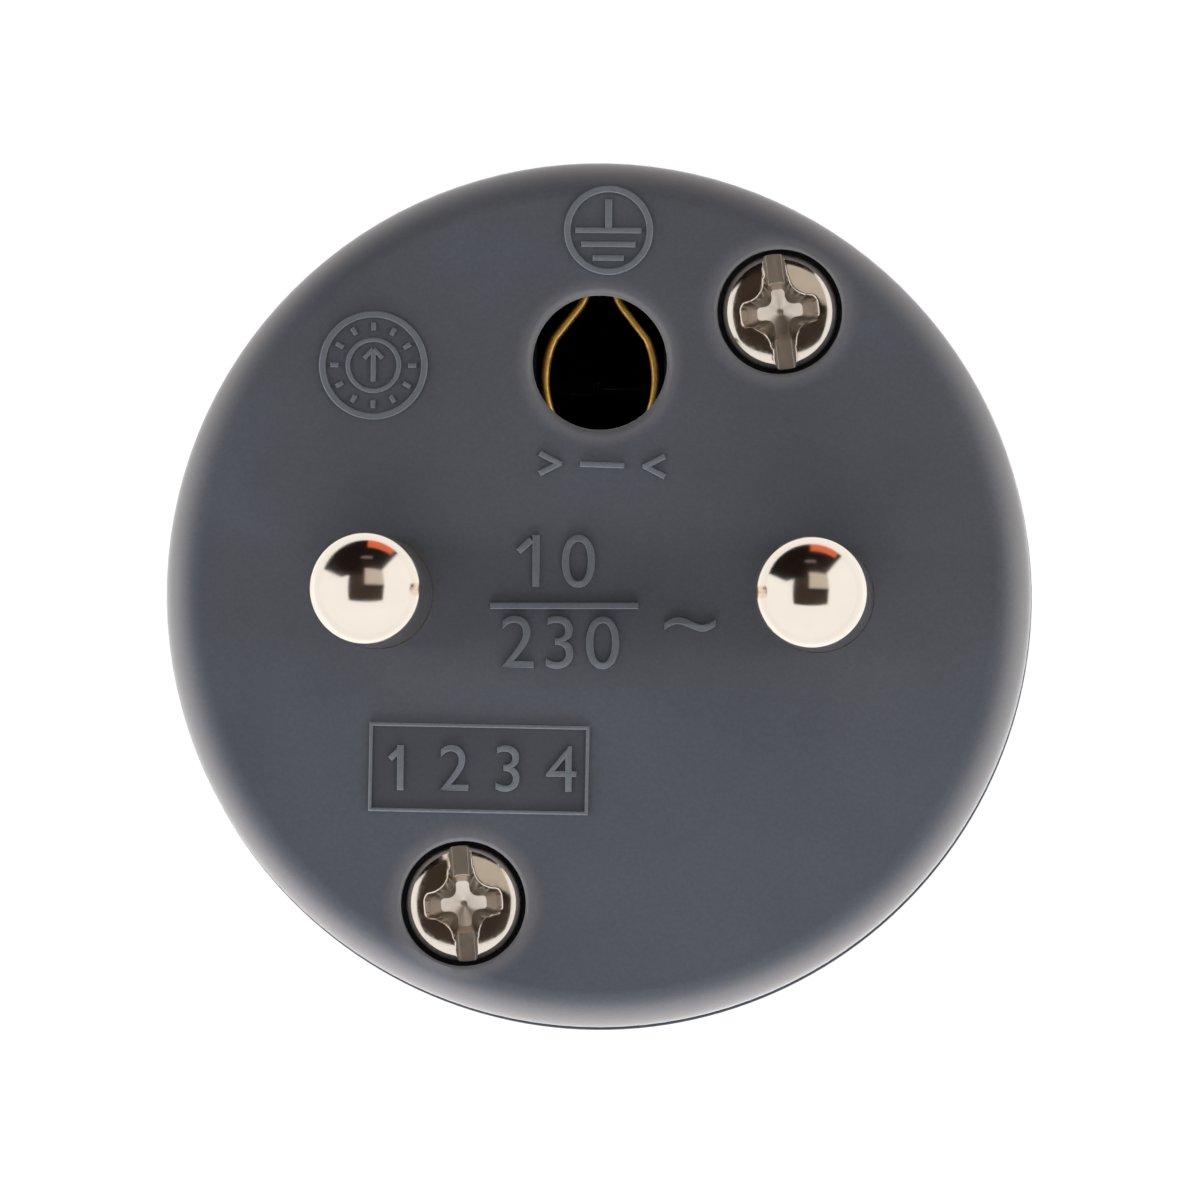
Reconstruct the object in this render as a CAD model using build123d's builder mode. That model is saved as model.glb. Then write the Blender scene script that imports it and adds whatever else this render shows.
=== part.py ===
from build123d import *
import os
from math import acos, atan, atan2, cos, degrees, hypot, radians, sin, sqrt

# Earthed two-pin mains plug, rewirable, standing on its cord end with the pins up.
# Frame: millimetres, origin at the centre of the flat cord end, +Z along the pins,
# +X towards the right-hand pin, +Y towards the earth socket.

# Housing
body_diameter = 37.5
body_length = 46.0
rim_depth = 4.5          # side of the front moulding, from the face to the parting line
face_thickness = 3.0
face_edge_radius = 1.7
cover_diameter = 37.0    # at the parting line, a little inside the rim
cover_taper = 0.4        # lost from the radius down to the shoulder
cover_wall = 2.2         # rim to the cavity
spigot_wall = 1.4
spigot_depth = 3.0       # how far the front moulding enters the cover
moulding_clearance = 0.15
seam_chamfer = 0.3

# Cord end of the cover
neck_diameter = 22.0
neck_length = 8.0
neck_edge_radius = 1.2
shoulder_length = 20.0   # height of the S-shaped shoulder between neck and body
inlet_diameter = 10.5
inlet_edge_radius = 1.0

# Grip grooves on both sides of the cover
groove_count = 5
groove_pitch = 3.2
groove_radius = 1.4
groove_depth = 0.8
groove_top_gap = 5.0     # parting line to the middle of the first groove

# Contact pins
pin_diameter = 4.8
pin_length = 19.0
pin_spacing = 19.0
pin_seat_depth = 2.8     # plate back to the seat of the pin collar
pin_collar_diameter = 6.6
pin_collar_thickness = 1.2
pin_clearance = 0.02
pin_root_diameter = 5.2
pin_root_recess = 0.1    # the thicker root ends just below the face
tip_radius = 2.7         # round end of a pin
tip_edge_radius = 1.0    # from the round end into the shank
head_width = 7.0
head_length = 8.0
head_corner = 0.5
wire_hole_diameter = 3.2
wire_hole_depth = 6.5
terminal_screw_rise = 2.6   # end of the pin head to the screw axis
socket_wall = 1.3
socket_clearance = 0.1
socket_screw_gap = 0.3   # socket walls to the head of the terminal screw

# Earth socket contact
earth_offset = 10.0
earth_hole_diameter = 5.8
earth_lip = 1.2          # thickness of the face over the contact
earth_edge_radius = 0.35
leaf_drop = 0.7          # loop centre below the axis of the hole while no pin is in
leaf_thickness = 0.4
leaf_grip_diameter = 4.4
leaf_width = 11.0
leaf_gap = 0.6           # between the two parallel tabs
leaf_bend = 3.7          # loop centre to the bend into the tabs
tab_reach = 5.1          # loop centre to the outer end of the tabs
chamber_clearance = 0.15
chamber_wall = 1.2
tail_width = 5.0
tail_length = 9.5
tail_neck = 2.8          # narrow part of the tail behind the leaves
earth_screw_rise = 3.4   # tail end to the screw axis
earth_screw_inset = 4.65 # cavity side to the screw axis
earth_screw_length = 4.5
washer_width = 6.0
washer_thickness = 1.0

# Machine screws and square nuts
screw_diameter = 3.0
screw_head_diameter = 5.0
screw_head_height = 1.9
screw_head_edge = 0.55
screw_point = 0.3            # chamfer at the end of the shank
slot_width = 0.95
slot_depth = 0.9
cross_span = 3.6
cross_width = 1.05
cross_corner_radius = 0.4
thread_clearance = 0.02
shank_clearance = 0.15
nut_width = 5.5
nut_thickness = 1.8
terminal_screw_reach = 2.5   # shank length under the head

# Housing screws
housing_screw_inset = 4.25   # body side to the screw axis
upper_screw_angle = 57.8
lower_screw_angle = 247.0
upper_slot_turn = 7.5
lower_slot_turn = 5.0
counterbore_diameter = 5.4
head_sink = 0.1              # face to the top of the screw head
housing_screw_length = 12.0
housing_nut_drop = 7.4       # underside of the head to the top of the nut
boss_diameter = 8.0
boss_meet_gap = 0.6          # spigot end to the plane where the bosses meet
boss_depth = 16.0            # height of the cover bosses
nut_clearance = 0.1

# Cord clamp
saddle_width = 19.0
saddle_height = 6.0
saddle_depth = 5.1
saddle_rise = 11.0           # end of the neck to the underside of the saddle
cord_groove_diameter = 8.4
clamp_gap = 3.0
bar_thickness = 4.0
bar_corner_radius = 1.0
clamp_screw_inset = 2.5      # end of the bar to the screw axis
clamp_screw_length = 9.5
clamp_screw_diameter = 2.9
leg_width = 3.2
leg_depth = 2.6
leg_spacing = 10.4           # between the middles of the two legs

# Levels and radii that follow from the sizes above
body_radius = body_diameter / 2
cavity_radius = body_radius - cover_wall
cover_radius = cover_diameter / 2
hip_radius = cover_radius - cover_taper
spigot_radius = cavity_radius - moulding_clearance
face_z = body_length
plate_z = face_z - face_thickness
parting_z = face_z - rim_depth
spigot_z = parting_z - spigot_depth
boss_meet_z = spigot_z - boss_meet_gap
neck_radius = neck_diameter / 2
shoulder_top = neck_length + shoulder_length
pin_x = pin_spacing / 2
pin_seat_z = plate_z - pin_seat_depth
head_top_z = pin_seat_z - pin_collar_thickness
head_end_z = head_top_z - head_length
terminal_screw_z = head_end_z + terminal_screw_rise
socket_end_z = terminal_screw_z + screw_head_diameter / 2 + socket_screw_gap
leaf_front_z = face_z - earth_lip
leaf_end_z = leaf_front_z - leaf_width
loop_y = earth_offset - leaf_drop
screw_circle = body_radius - housing_screw_inset
screw_seat_z = face_z - head_sink - screw_head_height
nut_top_z = screw_seat_z - housing_nut_drop
saddle_z = neck_length + saddle_rise
saddle_y = clamp_gap / 2
leg_y = saddle_y + saddle_depth - leg_depth / 2
clamp_z = saddle_z + saddle_height / 2
clamp_x = saddle_width / 2 - clamp_screw_inset
tail_end_z = leaf_end_z - tail_length
earth_screw_z = tail_end_z + earth_screw_rise
earth_screw_y = cavity_radius - earth_screw_inset
tail_x = -leaf_gap / 2 - leaf_thickness
housing_screws = [
    (screw_circle * cos(radians(a)), screw_circle * sin(radians(a)), a)
    for a in (upper_screw_angle, lower_screw_angle)
]


def shoulder_radius(z):
    """Outside radius of the cover at height z."""
    if z >= shoulder_top:
        return hip_radius + cover_taper * (z - shoulder_top) / (parting_z - shoulder_top)
    if z <= neck_length:
        return neck_radius
    rise = hip_radius - neck_radius
    bow = shoulder_length / (2 * sin(2 * atan(rise / shoulder_length)))
    up = z - neck_length
    if up < shoulder_length / 2:
        return neck_radius + bow - sqrt(bow**2 - up**2)
    down = shoulder_length - up
    return hip_radius - bow + sqrt(bow**2 - down**2)


def bell_half(inner):
    """Half section of the outside of the cover, or of its cavity."""
    floor = neck_length if inner else 0
    low = (neck_radius - cover_wall if inner else neck_radius, neck_length)
    high = (cavity_radius if inner else hip_radius, shoulder_top)
    top = (cavity_radius if inner else cover_radius, parting_z)
    middle = ((low[0] + high[0]) / 2, (low[1] + high[1]) / 2)
    with BuildSketch(Plane.XZ) as half:
        with BuildLine():
            if not inner:
                Line((low[0], floor), low)
            lower = TangentArc(low, middle, tangent=(0, 1))
            TangentArc(middle, high, tangent=lower % 1)
            Polyline(high, top, (0, parting_z), (0, floor), (low[0], floor))
        make_face()
    return half.sketch


def drive_cut():
    """Slot with a cross, cut into the top of a screw head that stands on the origin."""
    with BuildSketch(Plane.XY.offset(screw_head_height)) as drive:
        Rectangle(slot_width, 2 * screw_head_diameter)
        Rectangle(cross_span, cross_width)
        fillet(drive.vertices().filter_by(
            lambda v: abs(v.X) < slot_width and abs(v.Y) < cross_width), cross_corner_radius)
    extrude(drive.sketch, amount=-slot_depth, mode=Mode.SUBTRACT)


def machine_screw(diameter, shank_length):
    """Round-headed screw along -Z, the underside of its head on the origin."""
    Cylinder(screw_head_diameter / 2, screw_head_height,
             align=(Align.CENTER, Align.CENTER, Align.MIN))
    fillet(edges().group_by(Axis.Z)[-1], screw_head_edge)
    drive_cut()
    Cylinder(diameter / 2, shank_length, align=(Align.CENTER, Align.CENTER, Align.MAX))
    chamfer(edges().group_by(Axis.Z)[0], screw_point)


def square_plate(width, thickness, hole):
    """Square nut or washer, its upper face on the origin."""
    Box(width, width, thickness, align=(Align.CENTER, Align.CENTER, Align.MAX))
    Cylinder(hole / 2, thickness * 3, mode=Mode.SUBTRACT)


os.makedirs("parts", exist_ok=True)

# Front moulding
with BuildPart() as front_base:
    # Sockets for the pin heads, screw bosses, chamber walls and cord saddle behind the plate
    socket_inside = head_width + 2 * socket_clearance
    socket_outside = socket_inside + 2 * socket_wall
    chamber_half = leaf_grip_diameter / 2 + leaf_thickness + chamber_clearance
    chamber_low = loop_y - chamber_half
    chamber_high = loop_y + tab_reach + chamber_clearance
    chamber_y = (chamber_low + chamber_high) / 2
    with BuildSketch(Plane.XY.offset(plate_z)):
        with Locations((-pin_x, 0), (pin_x, 0)):
            Rectangle(socket_outside, socket_outside)
    extrude(amount=-(plate_z - socket_end_z))
    with BuildSketch(Plane.XY.offset(plate_z)):
        with Locations(*[(x, y) for x, y, angle in housing_screws]):
            Circle(boss_diameter / 2)
    extrude(amount=-(plate_z - boss_meet_z))
    with BuildSketch(Plane.XY.offset(plate_z)):
        with Locations((0, chamber_y)):
            Rectangle(2 * (chamber_half + chamber_wall),
                      chamber_high - chamber_low + 2 * chamber_wall)
    extrude(amount=-(plate_z - boss_meet_z))
    with BuildSketch(Plane.XY.offset(plate_z)):
        with Locations((-leg_spacing / 2, leg_y), (leg_spacing / 2, leg_y)):
            Rectangle(leg_width, leg_depth)
    extrude(amount=-(plate_z - saddle_z))
    with BuildSketch(Plane.XY.offset(saddle_z)):
        with Locations((0, saddle_y + saddle_depth / 2)):
            Rectangle(saddle_width, saddle_depth)
    extrude(amount=saddle_height)
    # All of that stays within the spigot
    with BuildSketch(Plane.XY.offset(saddle_z)):
        Circle(spigot_radius)
    extrude(amount=plate_z - saddle_z, mode=Mode.INTERSECT)

    # Plate, rim and spigot turned as one profile
    with BuildSketch(Plane.XZ):
        with BuildLine():
            Polyline(
                (0, face_z), (body_radius, face_z), (body_radius, parting_z),
                (spigot_radius, parting_z), (spigot_radius, spigot_z),
                (spigot_radius - spigot_wall, spigot_z), (spigot_radius - spigot_wall, plate_z),
                (0, plate_z), close=True)
        make_face()
    revolve(axis=Axis.Z)
    rings = front_base.edges().filter_by(GeomType.CIRCLE)
    fillet(rings.filter_by(lambda e: abs(e.center().Z - face_z) < 0.01), face_edge_radius)
    rings = front_base.edges().filter_by(GeomType.CIRCLE)
    chamfer(rings.filter_by(lambda e: abs(e.center().Z - parting_z) < 0.01
                            and abs(e.radius - body_radius) < 0.01), seam_chamfer)

    # Pockets of the pin heads and holes of the pins
    with BuildSketch(Plane.XY.offset(pin_seat_z)):
        with Locations((-pin_x, 0), (pin_x, 0)):
            Rectangle(socket_inside, socket_inside)
    extrude(amount=-(pin_seat_z - socket_end_z), mode=Mode.SUBTRACT)
    with BuildSketch(Plane.XY.offset(face_z)):
        with Locations((-pin_x, 0), (pin_x, 0)):
            Circle(pin_root_diameter / 2 + pin_clearance)
    extrude(amount=-(face_z - pin_seat_z), mode=Mode.SUBTRACT)

    # Chamber of the earth contact and its round hole in the face
    with BuildSketch(Plane.XY.offset(leaf_front_z)):
        with Locations((0, chamber_y)):
            Rectangle(2 * chamber_half, chamber_high - chamber_low)
    extrude(amount=-(leaf_front_z - boss_meet_z), mode=Mode.SUBTRACT)
    with BuildSketch(Plane.XY.offset(face_z)):
        with Locations((0, earth_offset)):
            Circle(earth_hole_diameter / 2)
    extrude(amount=-earth_lip, mode=Mode.SUBTRACT)

    # Sunk seats and shank holes of the housing screws
    with BuildSketch(Plane.XY.offset(face_z)):
        with Locations(*[(x, y) for x, y, angle in housing_screws]):
            Circle(counterbore_diameter / 2)
    extrude(amount=-(face_z - screw_seat_z), mode=Mode.SUBTRACT)
    with BuildSketch(Plane.XY.offset(screw_seat_z)):
        with Locations(*[(x, y) for x, y, angle in housing_screws]):
            Circle(screw_diameter / 2 + shank_clearance)
    extrude(amount=-(screw_seat_z - boss_meet_z), mode=Mode.SUBTRACT)
    mouths = front_base.edges().filter_by(GeomType.CIRCLE).filter_by(
        lambda e: abs(e.center().Z - face_z) < 0.01)
    fillet(mouths.filter_by(lambda e: abs(e.radius - earth_hole_diameter / 2) < 0.01),
           earth_edge_radius)

    # Groove for the cord and pilot holes in the saddle
    with BuildSketch(Plane.XY.offset(saddle_z)):
        Circle(cord_groove_diameter / 2)
    extrude(amount=saddle_height, mode=Mode.SUBTRACT)
    with Locations((-clamp_x, 0, clamp_z), (clamp_x, 0, clamp_z)):
        Cylinder(clamp_screw_diameter / 2 + thread_clearance, 4 * (saddle_y + saddle_depth),
                 rotation=(90, 0, 0), mode=Mode.SUBTRACT)
front_base.part.label = "front_base"
export_step(front_base.part, "parts/front_base.step")

# Inside of the cover, with the bosses of the housing screws left standing
with BuildPart() as cavity:
    revolve(bell_half(True), axis=Axis.Z)
    with BuildSketch(Plane.XY.offset(boss_meet_z)):
        with Locations(*[(x, y) for x, y, angle in housing_screws]):
            Circle(boss_diameter / 2)
    extrude(amount=-boss_depth, mode=Mode.SUBTRACT)

# Rear moulding
with BuildPart() as rear_cover:
    revolve(bell_half(False), axis=Axis.Z)
    rings = rear_cover.edges().filter_by(GeomType.CIRCLE)
    fillet(rings.filter_by(lambda e: abs(e.center().Z) < 0.01), neck_edge_radius)
    rings = rear_cover.edges().filter_by(GeomType.CIRCLE)
    chamfer(rings.filter_by(lambda e: abs(e.center().Z - parting_z) < 0.01), seam_chamfer)
    add(cavity.part, mode=Mode.SUBTRACT)
    with BuildSketch(Plane.XY):
        Circle(inlet_diameter / 2)
    extrude(amount=neck_length, mode=Mode.SUBTRACT)
    rings = rear_cover.edges().filter_by(GeomType.CIRCLE)
    fillet(rings.filter_by(lambda e: abs(e.center().Z) < 0.01
                           and abs(e.radius - inlet_diameter / 2) < 0.01), inlet_edge_radius)

    # Screw holes and side-loaded nut slots in the bosses
    with BuildSketch(Plane.XY.offset(boss_meet_z)):
        with Locations(*[(x, y) for x, y, angle in housing_screws]):
            Circle(screw_diameter / 2 + shank_clearance)
    extrude(amount=-(boss_meet_z - screw_seat_z + housing_screw_length + 2 * shank_clearance),
            mode=Mode.SUBTRACT)
    slot_length = boss_diameter / 2 + nut_width / 2 + 1
    for x, y, angle in housing_screws:
        with Locations(Location((x, y, nut_top_z), (0, 0, angle))):
            with Locations((nut_width / 2 + nut_clearance, 0, 0)):
                Box(slot_length, nut_width + 2 * nut_clearance, nut_thickness + 2 * nut_clearance,
                    align=(Align.MAX, Align.CENTER, Align.MAX), mode=Mode.SUBTRACT)

    # Grip grooves on the two sides that face the fingers
    for i in range(groove_count):
        z = parting_z - groove_top_gap - i * groove_pitch
        x = shoulder_radius(z) + groove_radius - groove_depth
        with Locations((-x, 0, z), (x, 0, z)):
            Cylinder(groove_radius, body_diameter, rotation=(90, 0, 0), mode=Mode.SUBTRACT)
rear_cover.part.label = "rear_cover"
export_step(rear_cover.part, "parts/rear_cover.step")


# Pattern of the two contact pins, on the plug axis
with BuildPart() as contact_pin:
    with BuildSketch(Plane.XY.offset(head_end_z)):
        Rectangle(head_width, head_width)
    extrude(amount=head_length)
    chamfer(contact_pin.edges().filter_by(Axis.Z), head_corner)
    tip_z = face_z + pin_length
    cap_z = tip_z - tip_radius
    edge_x = pin_diameter / 2 - tip_edge_radius
    edge_rise = sqrt((tip_radius - tip_edge_radius) ** 2 - edge_x ** 2)
    edge_angle = degrees(atan2(edge_rise, edge_x))
    root_z = face_z - pin_root_recess
    with BuildSketch(Plane.XZ):
        with BuildLine():
            Polyline(
                (pin_diameter / 2, cap_z + edge_rise), (pin_diameter / 2, root_z),
                (pin_root_diameter / 2, root_z), (pin_root_diameter / 2, pin_seat_z),
                (pin_collar_diameter / 2, pin_seat_z), (pin_collar_diameter / 2, head_top_z),
                (0, head_top_z), (0, tip_z))
            CenterArc((edge_x, cap_z + edge_rise), tip_edge_radius, 0, edge_angle)
            CenterArc((0, cap_z), tip_radius, edge_angle, 90 - edge_angle)
        make_face()
    revolve(axis=Axis.Z)
    with BuildSketch(Plane.XY.offset(head_end_z)):
        Circle(wire_hole_diameter / 2)
    extrude(amount=wire_hole_depth, mode=Mode.SUBTRACT)
    with Locations(Location((0, 0, terminal_screw_z), (90, 0, 0))):
        Cylinder(screw_diameter / 2 + thread_clearance, head_width,
                 align=(Align.CENTER, Align.CENTER, Align.MIN), mode=Mode.SUBTRACT)

with BuildPart() as left_pin:
    add(Pos(-pin_x, 0, 0) * contact_pin.part)
left_pin.part.label = "left_pin"
export_step(left_pin.part, "parts/left_pin.step")

with BuildPart() as right_pin:
    add(Pos(pin_x, 0, 0) * contact_pin.part)
right_pin.part.label = "right_pin"
export_step(right_pin.part, "parts/right_pin.step")

# Terminal screws, driven from the -Y side into the pin heads
with BuildPart() as terminal_screw:
    machine_screw(screw_diameter, terminal_screw_reach)
to_front = Rot(90, 0, 0)

with BuildPart() as left_terminal_screw:
    add(Pos(-pin_x, -head_width / 2, terminal_screw_z) * to_front * terminal_screw.part)
left_terminal_screw.part.label = "left_terminal_screw"
export_step(left_terminal_screw.part, "parts/left_terminal_screw.step")

with BuildPart() as right_terminal_screw:
    add(Pos(pin_x, -head_width / 2, terminal_screw_z) * to_front * terminal_screw.part)
right_terminal_screw.part.label = "right_terminal_screw"
export_step(right_terminal_screw.part, "parts/right_terminal_screw.step")

# Earth contact: a strip bent into an onion-shaped loop, with a tail for its terminal
leaf_middle = (leaf_grip_diameter + leaf_thickness) / 2
tab_middle = (leaf_gap + leaf_thickness) / 2
leaf_lean = atan2(leaf_bend, tab_middle) - acos(leaf_middle / hypot(leaf_bend, tab_middle))


def leaf_line(radius, tab):
    """One face of the strip: right tab, leaf, round bottom, left leaf and left tab."""
    bend = (tab, (radius - tab * cos(leaf_lean)) / sin(leaf_lean))
    touch = (radius * cos(leaf_lean), radius * sin(leaf_lean))
    Polyline((tab, tab_reach), bend, touch)
    ThreePointArc(touch, (0, -radius), (-touch[0], touch[1]))
    Polyline((-touch[0], touch[1]), (-bend[0], bend[1]), (-tab, tab_reach))


with BuildPart() as earth_contact:
    outer_tab = leaf_gap / 2 + leaf_thickness
    with BuildSketch(Plane((0, loop_y, leaf_end_z))):
        with BuildLine():
            leaf_line(leaf_grip_diameter / 2 + leaf_thickness, outer_tab)
            leaf_line(leaf_grip_diameter / 2, leaf_gap / 2)
            Line((outer_tab, tab_reach), (leaf_gap / 2, tab_reach))
            Line((-outer_tab, tab_reach), (-leaf_gap / 2, tab_reach))
        make_face()
    extrude(amount=leaf_width)
    tab_end = loop_y + tab_reach
    tab_length = tab_reach - leaf_bend
    tail_side = earth_screw_y - tail_width / 2
    tail_top = leaf_end_z - tail_neck
    with BuildSketch(Plane.YZ.offset(tail_x)):
        with Locations((tail_side, tail_end_z)):
            Rectangle(tail_width, tail_top - tail_end_z, align=(Align.MIN, Align.MIN))
        with Locations((tail_side, tail_top)):
            Rectangle(tab_end - tail_side, tab_length, align=(Align.MIN, Align.MAX))
        with Locations((tab_end, tail_top - tab_length)):
            Rectangle(tab_length, tail_neck + 2 * tab_length, align=(Align.MAX, Align.MIN))
        with Locations((earth_screw_y, earth_screw_z)):
            Circle(screw_diameter / 2 + shank_clearance, mode=Mode.SUBTRACT)
    extrude(amount=leaf_thickness)
earth_contact.part.label = "earth_contact"
export_step(earth_contact.part, "parts/earth_contact.step")

# Earth terminal: screw head and washer on the -X side of the tail, nut on the other
to_left = Rot(0, -90, 0)
earth_screw_at = Pos(tail_x - washer_thickness, earth_screw_y, earth_screw_z) * to_left
earth_nut_at = Pos(tail_x + leaf_thickness, earth_screw_y, earth_screw_z) * to_left
with BuildPart() as washer_plate:
    square_plate(washer_width, washer_thickness, screw_diameter + 2 * shank_clearance)
with BuildPart() as square_nut:
    square_plate(nut_width, nut_thickness, screw_diameter + 2 * thread_clearance)
with BuildPart() as earth_screw:
    machine_screw(screw_diameter, earth_screw_length)

with BuildPart() as earth_clamp_washer:
    add(earth_screw_at * washer_plate.part)
earth_clamp_washer.part.label = "earth_clamp_washer"
export_step(earth_clamp_washer.part, "parts/earth_clamp_washer.step")

with BuildPart() as earth_terminal_screw:
    add(earth_screw_at * earth_screw.part)
earth_terminal_screw.part.label = "earth_terminal_screw"
export_step(earth_terminal_screw.part, "parts/earth_terminal_screw.step")

with BuildPart() as earth_terminal_nut:
    add(earth_nut_at * square_nut.part)
earth_terminal_nut.part.label = "earth_terminal_nut"
export_step(earth_terminal_nut.part, "parts/earth_terminal_nut.step")

# Cord clamp bar, drawn to the saddle by two screws
bar_front = -saddle_y - bar_thickness
with BuildPart() as cord_clamp_bar:
    with BuildSketch(Plane.XY.offset(saddle_z)):
        with Locations((0, -saddle_y)):
            Rectangle(saddle_width, bar_thickness, align=(Align.CENTER, Align.MAX))
        Circle(cord_groove_diameter / 2, mode=Mode.SUBTRACT)
    extrude(amount=saddle_height)
    fillet(cord_clamp_bar.edges().filter_by(Axis.Z).group_by(Axis.Y)[0], bar_corner_radius)
    with Locations((-clamp_x, 0, clamp_z), (clamp_x, 0, clamp_z)):
        Cylinder(clamp_screw_diameter / 2 + shank_clearance, 4 * (saddle_y + bar_thickness),
                 rotation=(90, 0, 0), mode=Mode.SUBTRACT)
cord_clamp_bar.part.label = "cord_clamp_bar"
export_step(cord_clamp_bar.part, "parts/cord_clamp_bar.step")

with BuildPart() as clamp_screw:
    machine_screw(clamp_screw_diameter, clamp_screw_length)

with BuildPart() as left_clamp_screw:
    add(Pos(-clamp_x, bar_front, clamp_z) * to_front * clamp_screw.part)
left_clamp_screw.part.label = "left_clamp_screw"
export_step(left_clamp_screw.part, "parts/left_clamp_screw.step")

with BuildPart() as right_clamp_screw:
    add(Pos(clamp_x, bar_front, clamp_z) * to_front * clamp_screw.part)
right_clamp_screw.part.label = "right_clamp_screw"
export_step(right_clamp_screw.part, "parts/right_clamp_screw.step")

# Housing screws sunk in the face, and their nuts in the bosses of the cover
with BuildPart() as housing_screw:
    machine_screw(screw_diameter, housing_screw_length)
(upper_x, upper_y, upper_a), (lower_x, lower_y, lower_a) = housing_screws

with BuildPart() as upper_assembly_screw:
    add(Pos(upper_x, upper_y, screw_seat_z) * Rot(0, 0, upper_slot_turn) * housing_screw.part)
upper_assembly_screw.part.label = "upper_assembly_screw"
export_step(upper_assembly_screw.part, "parts/upper_assembly_screw.step")

with BuildPart() as lower_assembly_screw:
    add(Pos(lower_x, lower_y, screw_seat_z) * Rot(0, 0, lower_slot_turn) * housing_screw.part)
lower_assembly_screw.part.label = "lower_assembly_screw"
export_step(lower_assembly_screw.part, "parts/lower_assembly_screw.step")

with BuildPart() as upper_assembly_nut:
    add(Pos(upper_x, upper_y, nut_top_z) * Rot(0, 0, upper_a) * square_nut.part)
upper_assembly_nut.part.label = "upper_assembly_nut"
export_step(upper_assembly_nut.part, "parts/upper_assembly_nut.step")

with BuildPart() as lower_assembly_nut:
    add(Pos(lower_x, lower_y, nut_top_z) * Rot(0, 0, lower_a) * square_nut.part)
lower_assembly_nut.part.label = "lower_assembly_nut"
export_step(lower_assembly_nut.part, "parts/lower_assembly_nut.step")
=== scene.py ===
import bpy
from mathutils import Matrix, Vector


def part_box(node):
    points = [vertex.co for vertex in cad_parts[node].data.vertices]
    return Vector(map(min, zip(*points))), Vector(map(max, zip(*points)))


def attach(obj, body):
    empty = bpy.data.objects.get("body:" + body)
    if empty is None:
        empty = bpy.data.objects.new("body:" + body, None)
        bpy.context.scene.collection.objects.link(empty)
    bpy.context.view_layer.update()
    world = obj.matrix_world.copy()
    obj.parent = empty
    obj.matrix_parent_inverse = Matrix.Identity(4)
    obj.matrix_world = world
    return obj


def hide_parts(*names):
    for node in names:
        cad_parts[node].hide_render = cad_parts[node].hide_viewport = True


bl_info = {
    "name": "Earthed mains plug",
    "version": (1, 0, 0),
    "blender": (4, 5, 0),
    "location": "View3D > Sidebar > Mains plug",
    "description": "Models the visible pieces of a rewirable earthed plug on its packed solids",
    "category": "Mesh",
}

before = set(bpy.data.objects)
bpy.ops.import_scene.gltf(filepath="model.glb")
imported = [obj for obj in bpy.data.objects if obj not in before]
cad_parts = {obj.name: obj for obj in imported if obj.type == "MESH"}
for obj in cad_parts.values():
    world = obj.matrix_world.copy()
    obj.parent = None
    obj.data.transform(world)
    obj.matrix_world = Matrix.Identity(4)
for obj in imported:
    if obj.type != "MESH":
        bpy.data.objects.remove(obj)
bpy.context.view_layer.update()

from math import atan2, cos, pi, radians, sin, sqrt, tan

import bmesh
import bpy
from mathutils import Matrix, Vector

MM = 0.001
# Places taken from the CAD
FACE_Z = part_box("front_base")[1].z
PIN_TIP_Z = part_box("left_pin")[1].z
PIN_X = sum(c.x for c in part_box("right_pin")) / 2
HEAD_END_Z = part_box("left_pin")[0].z
SCREW_TOP_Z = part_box("upper_assembly_screw")[1].z
SCREW_END_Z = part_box("upper_assembly_screw")[0].z
# Sizes shared with the CAD: radii of the flat face, of the rim, of the earth hole and of the
# screw seats, and the place of the earth hole
FLAT_R, BODY_R = 17.05 * MM, 18.75 * MM
EARTH_R, EARTH_Y = 2.9 * MM, 10 * MM
SEAT_R = 2.7 * MM
# A radius that counts as a point, and the play in comparing places
TINY, PLAY = 1e-7, 1e-6
# Socket numbers of Map Range and of the colour Mix, whose names are not unique
VALUE, LOW, HIGH, TO_LOW, TO_HIGH = range(5)
SHARE, TINT_1, TINT_2, BLEND = 0, 6, 7, 2


def linear(hex_colour):
    """Linear RGBA of an sRGB colour written as #RRGGBB."""
    shares = [int(hex_colour[i:i + 2], 16) / 255 for i in (1, 3, 5)]
    return [s / 12.92 if s <= 0.04045 else ((s + 0.055) / 1.055) ** 2.4 for s in shares] + [1.0]


def length(name, default, text):
    """A length that a user can change."""
    return bpy.props.FloatProperty(
        name=name, description=text, default=default, min=0.0, precision=5, unit="LENGTH")


def colour(name, hex_colour, text):
    """A colour that a user can change."""
    return bpy.props.FloatVectorProperty(
        name=name, description=text, default=linear(hex_colour), size=4, min=0.0, max=1.0,
        subtype="COLOR")


class PlugSizes(bpy.types.PropertyGroup):
    """Sizes of the modelled pieces."""

    pin_diameter: length("Pin diameter", 4.8 * MM, "Diameter of a contact pin")
    pin_root: length("Pin root", 5.2 * MM, "Diameter of a pin behind the face")
    tip_radius: length("Tip radius", 2.7 * MM, "Radius of the round end of a pin")
    tip_edge: length("Tip edge", 1.0 * MM, "Rounding from the end of a pin into its shank")
    mouth_radius: length("Mouth radius", 0.2 * MM, "Rounding of the mouths of the screw seats")
    head_diameter: length("Screw head", 5.0 * MM, "Diameter of a housing screw head")
    head_height: length("Head height", 1.9 * MM, "Height of a housing screw head")
    slot_width: length("Slot width", 1.1 * MM, "Width of the screw slot at its top")
    cross_span: length("Cross span", 3.89 * MM, "Width over two arms of the cross recess")
    cross_arm: length("Cross arm", 1.2 * MM, "Width of an arm of the cross recess")
    strip: length("Contact strip", 0.36 * MM, "Thickness of the earth contact strip")
    loop_width: length("Contact loop", 4.4 * MM, "Clear width of the earth contact loop")
    mark_height: length("Mark height", 0.15 * MM, "How far the moulded marks stand out")
    mark_stroke: length("Mark stroke", 0.28 * MM, "Line width of the moulded marks")


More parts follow.
